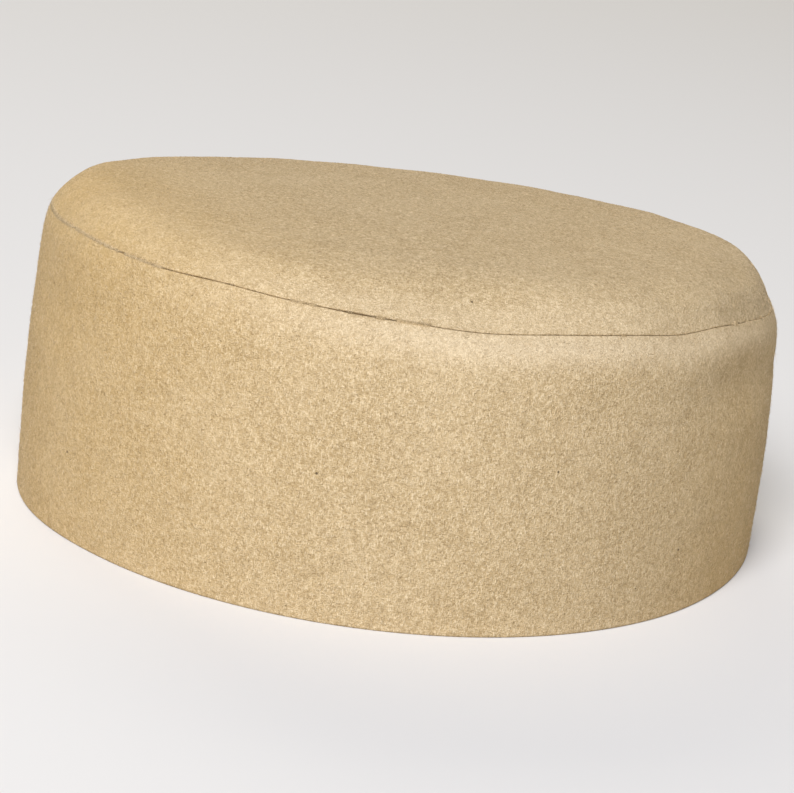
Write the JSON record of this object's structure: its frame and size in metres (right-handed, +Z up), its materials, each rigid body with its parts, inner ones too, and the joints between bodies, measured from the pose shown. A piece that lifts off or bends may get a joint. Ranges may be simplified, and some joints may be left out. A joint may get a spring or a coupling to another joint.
{
  "type": "kufi cap",
  "caption": "Soft felt kufi cap: a tall side band closed by a low oval top, with a turned seam along its top edge and an open hollow for the head.",
  "frame": {"origin": "middle of the plane that the cap's rim rests on", "axes": "+Z up out of the top of the cap; the long axis lies along Y, with the front of the cap at -Y and its back at +Y"},
  "size_m": [0.186, 0.196, 0.081],
  "materials": {
    "felt": "matt tan wool felt with a short raised nap and a fine mottled grain"
  },
  "bodies": {
    "root": {"side_band": "felt", "top_panel": "felt"}
  },
  "joints": []
}
